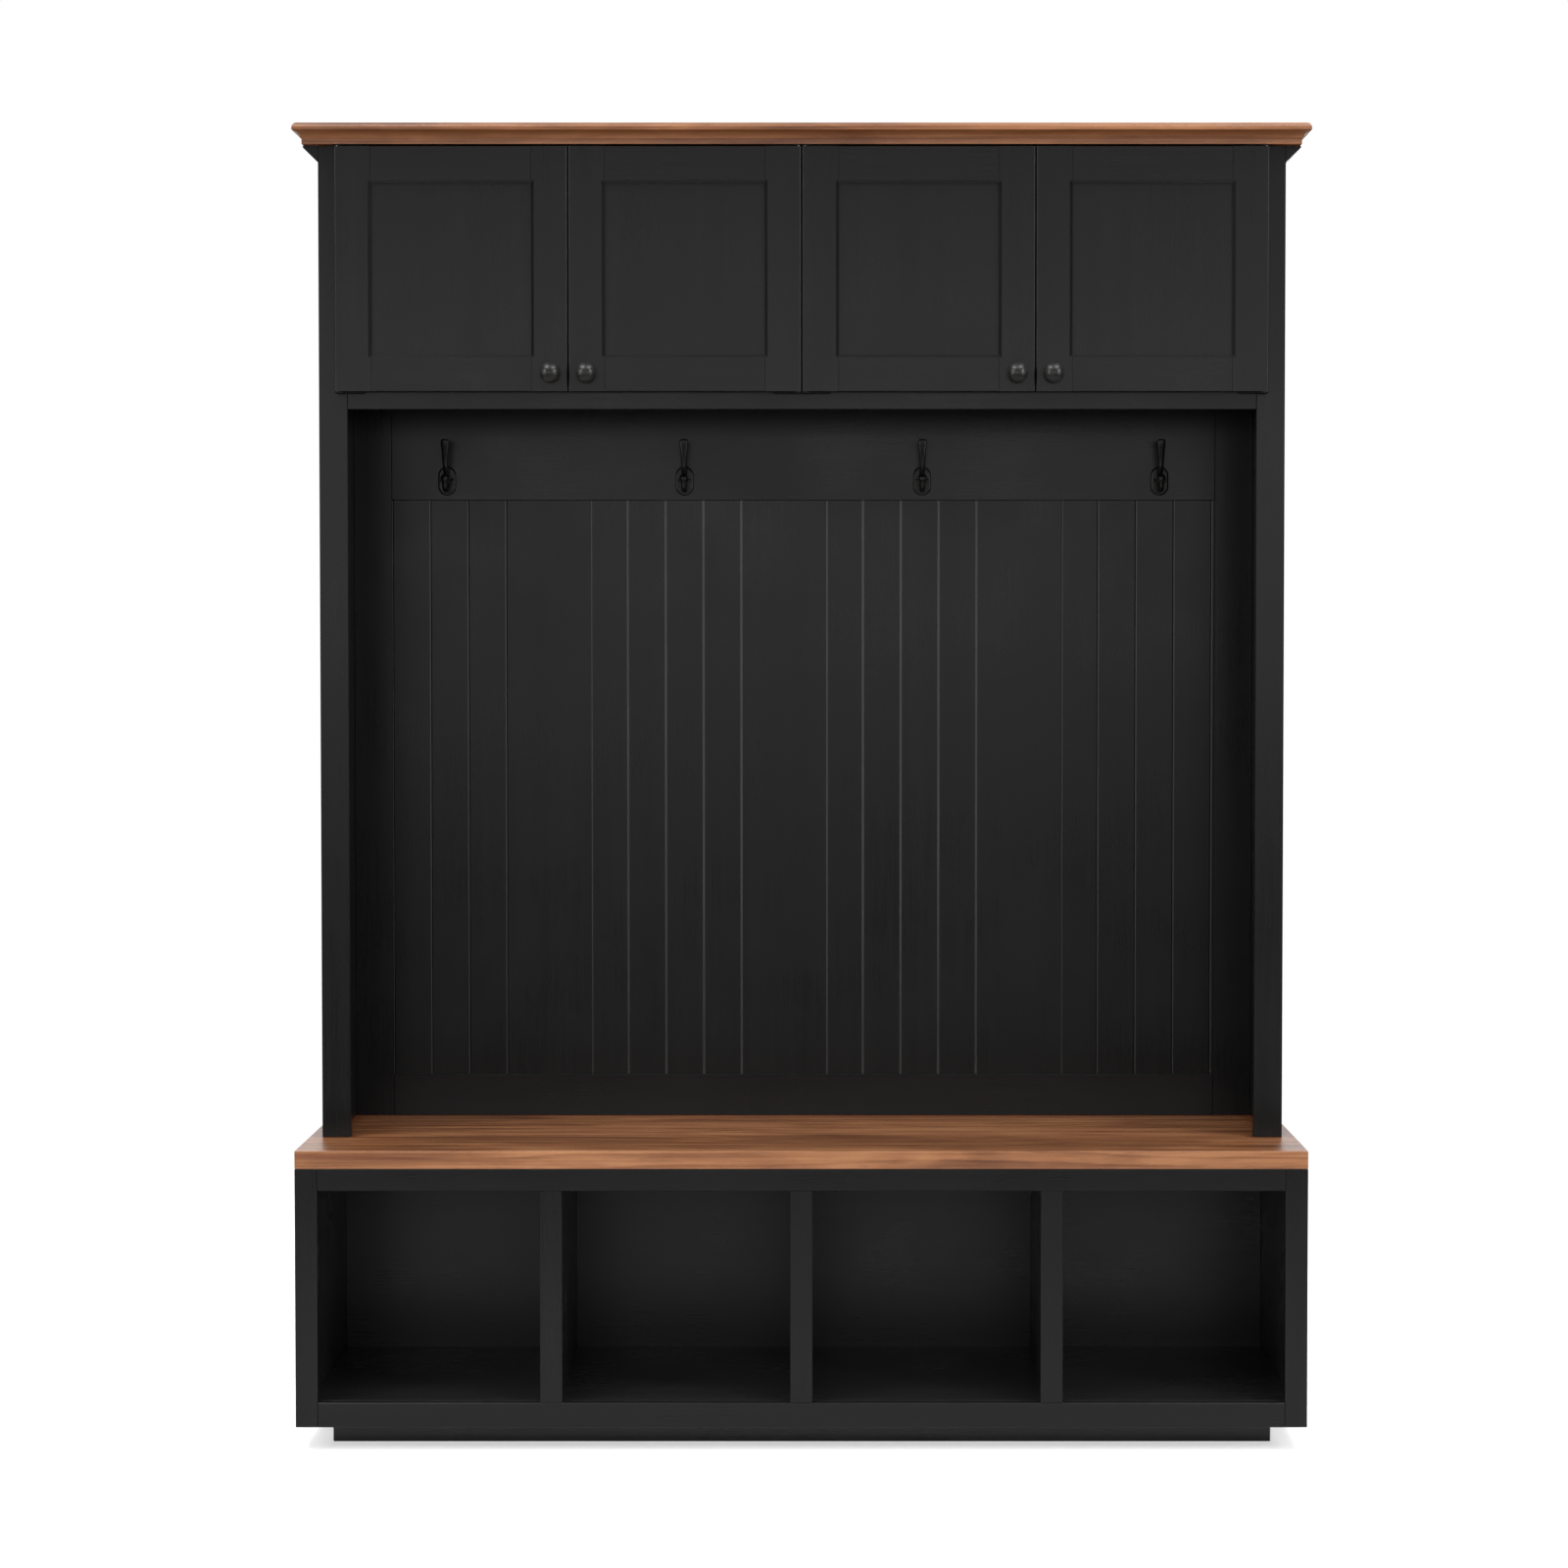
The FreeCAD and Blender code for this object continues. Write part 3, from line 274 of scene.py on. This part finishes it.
NYLON = hardware("nylon", (0.018, 0.018, 0.018), (0.030, 0.030, 0.030), 0.0, 0.48, 0.60, 900.0, 0.00002)
FELT = hardware("felt", (0.020, 0.020, 0.021), (0.050, 0.050, 0.050), 0.0, 0.85, 0.98, 1500.0, 0.00018)

ALONG_X = {"plinth_front_board", "plinth_back_board", "bench_bottom_panel", "bench_back_panel", "bench_rear_rail", "bench_bottom_rail",
           "bench_apron_rail", "cabinet_bottom_rail", "cabinet_top_rail", "cabinet_floor", "cabinet_top_panel", "wall_fixing_rail",
           "back_base_rail", "hook_rail"} | {"door_%d_rails" % k for k in (1, 2, 3, 4)}
ALONG_Y = {"plinth_cross_boards", "cornice_side_mouldings"}
INSIDE = {"bench_left_side", "bench_right_side", "bench_bottom_panel", "bench_back_panel", "bench_dividers", "bench_rear_rail", "cabinet_floor", "cabinet_top_panel", "cabinet_divider",
          "cabinet_back_panel", "wall_fixing_rail"}
BY_SLOT = {"stained_wood": WOOD, "dark_metal": METAL, "black_steel": BLACK_STEEL, "steel": STEEL, "nylon": NYLON, "felt": FELT}
for row in frame["record"]["subparts"]:
    name = row["node"]
    o = nodes[name]
    finish = BY_SLOT.get(row["material_slot"])
    if finish is None:
        finish = (INSIDE_SHADE_LIFTED if name in INSIDE else PAINT)["x" if name in ALONG_X else "y" if name in ALONG_Y else "z"]
    # The plinth takes the lightened plinth paint, painted light against the shade under the bench.
    if name.startswith("plinth_"):
        finish = PLINTH_SHADE_LIFTED["y" if name in ALONG_Y else "x"]
    if name.startswith("coat_hook") or name == "hook_screws":
        finish = HOOK_METAL
    o.data.materials.clear()
    o.data.materials.append(finish)
    if name in ("bench_left_side", "bench_right_side"):        # painted like the front on the outside; the inner faces keep the lightened inside paint, painted light against the shade inside
        o.data.materials.append(PAINT["z"])
        for face in o.data.polygons:
            if abs((o.matrix_world @ face.center)[0]) > 0.7485:
                face.material_index = 1

# ------------------------------------------------------------------------ studio
bpy.ops.mesh.primitive_circle_add(vertices=96, radius=7.0, fill_type="NGON", location=(0, 0, -0.0005))
floor = bpy.context.object
floor.name = "studio_floor"
g = Graph("studio_floor")
at = g.node("TexCoord").outputs["Object"]
far = g.remap(g.vector("LENGTH", at), 1.9, 3.4, 0.0, 1.0, smooth=True)
fade = g.node("MixShader")
clear = g.node("BsdfTransparent")
g.join(far, fade.inputs[0])
g.join(g.shader.outputs[0], fade.inputs[1])
g.join(clear.outputs[0], fade.inputs[2])
g.join(fade.outputs[0], g.out.inputs[0])
pale = g.ramp(g.noise(at, 3.0, 3.0), [(0.3, (0.86, 0.86, 0.86)), (0.7, (0.89, 0.89, 0.89))])
# Painted shade in reflections: the floor is darker in glossy reflections than it is to the camera, which dims its
# reflection on the object's lower faces.
rays = g.node("LightPath")
g.set(Base_Color=g.blend(g.math("MULTIPLY", rays.outputs["Is Glossy Ray"], 0.28), pale, (0.30, 0.30, 0.30)), Roughness=0.9)
g.shader.inputs["Emission Color"].default_value = (1.0, 1.0, 1.0, 1.0)
g.set(Emission_Strength=g.math("MULTIPLY", rays.outputs["Is Camera Ray"], 0.5))
floor.data.materials.append(g.mat)

world = bpy.data.worlds.new("studio")
scene.world = world
world.use_nodes = True
tree = world.node_tree
tree.nodes.clear()
out = tree.nodes.new("ShaderNodeOutputWorld")
mix = tree.nodes.new("ShaderNodeMixShader")
path = tree.nodes.new("ShaderNodeLightPath")
seen = tree.nodes.new("ShaderNodeBackground")
lit = tree.nodes.new("ShaderNodeBackground")
seen.inputs[0].default_value = (1.0, 1.0, 1.0, 1.0)
seen.inputs[1].default_value = 1.0
lit.inputs[0].default_value = (1.0, 1.0, 1.0, 1.0)


def world_node(kind, **settings):
    n = tree.nodes.new("ShaderNode" + kind)
    for key, value in settings.items():
        setattr(n, key, value)
    return n


def window(value, a, b, top):
    """Rises smoothly from 0 at a to top at b."""
    n = world_node("MapRange", interpolation_type="SMOOTHSTEP", clamp=True)
    tree.links.new(value, n.inputs[0])
    for socket, v in zip(n.inputs[1:5], (a, b, 0.0, top)):
        socket.default_value = v
    return n.outputs[0]


def joined(op, a, b):
    n = world_node("Math", operation=op)
    for socket, v in zip(n.inputs, (a, b)):
        if isinstance(v, bpy.types.NodeSocket):
            tree.links.new(v, socket)
        else:
            socket.default_value = v
    return n.outputs[0]


# Light from all round: a pale ceiling, two side walls and a wall behind, with nothing bright low down in front.
towards = world_node("SeparateXYZ")
tree.links.new(world_node("TexCoord").outputs["Generated"], towards.inputs[0])
above = window(towards.outputs[2], -0.02, 0.08, 1.0)
ceiling = joined("ADD", window(towards.outputs[2], 0.22, 0.42, 0.40), window(towards.outputs[2], 0.82, 0.95, 0.75))
sides = joined("MULTIPLY", window(joined("ABSOLUTE", towards.outputs[0], 0.0), 0.80, 0.92, 0.40), above)
wall = joined("MULTIPLY", window(towards.outputs[1], 0.0, 0.35, 0.35), above)
level = joined("MAXIMUM", ceiling, joined("MAXIMUM", sides, wall))
tree.links.new(joined("ADD", level, 0.012), lit.inputs[1])
tree.links.new(path.outputs["Is Camera Ray"], mix.inputs[0])
tree.links.new(lit.outputs[0], mix.inputs[1])
tree.links.new(seen.outputs[0], mix.inputs[2])
tree.links.new(mix.outputs[0], out.inputs[0])


def softbox(name, at, aim, wide, tall, power):
    light = bpy.data.lights.new(name, "AREA")
    light.shape = "RECTANGLE"
    light.size, light.size_y = wide, tall
    light.energy = power
    o = bpy.data.objects.new(name, light)
    o.location = at
    o.rotation_euler = (Vector(aim) - Vector(at)).to_track_quat("-Z", "Y").to_euler()
    o.visible_camera = False
    scene.collection.objects.link(o)
    return o


softbox("key_left", (-1.93, -1.93, 5.29), (0.0, 0.0, 1.1), 2.85, 1.57, 136.0)
softbox("key_right", (1.93, -1.93, 5.29), (0.0, 0.0, 1.1), 2.85, 1.57, 122.0)
softbox("strip", (0.0, -7.2, 1.9), (0.0, 0.0, 1.1), 12.0, 0.9, 78.0)
softbox("strip_high", (0.0, -7.2, 2.8), (0.0, 0.0, 1.1), 12.0, 0.9, 19.0)
softbox("side_left", (-4.3, -3.6, 3.45), (0.0, 0.0, 1.3), 1.2, 1.6, 84.0)
softbox("side_right", (4.3, -3.6, 3.45), (0.0, 0.0, 1.3), 1.2, 1.6, 112.0)
softbox("side_low_left", (-4.75, -3.7, 1.20), (0.0, 0.0, 1.0), 2.3, 2.4, 66.0)
softbox("side_low_right", (4.75, -3.7, 1.20), (0.0, 0.0, 1.0), 2.3, 2.4, 66.0)
softbox("back_fill", (0.0, 4.8, 2.8), (0.0, 0.0, 1.0), 4.0, 2.0, 70.0)
softbox("strip_low", (0.0, -7.2, 1.15), (0.0, 0.0, 1.1), 12.0, 0.6, 33.0)

# ------------------------------------------------------------------------ camera
cam = bpy.data.cameras.new("camera")
cam.sensor_width = 36.0
cam.lens = 3845.0 / 1600.0 * 36.0
cam.shift_x = -48.7 / 1600.0
cam.clip_end = 100.0
eye = bpy.data.objects.new("camera", cam)
eye.location = (0.045, -5.7785, 1.189)
eye.rotation_euler = (math.radians(90.0 - 2.04), 0.0, 0.0)
scene.collection.objects.link(eye)
scene.camera = eye

scene.view_settings.view_transform = "Standard"
scene.view_settings.look = "None"
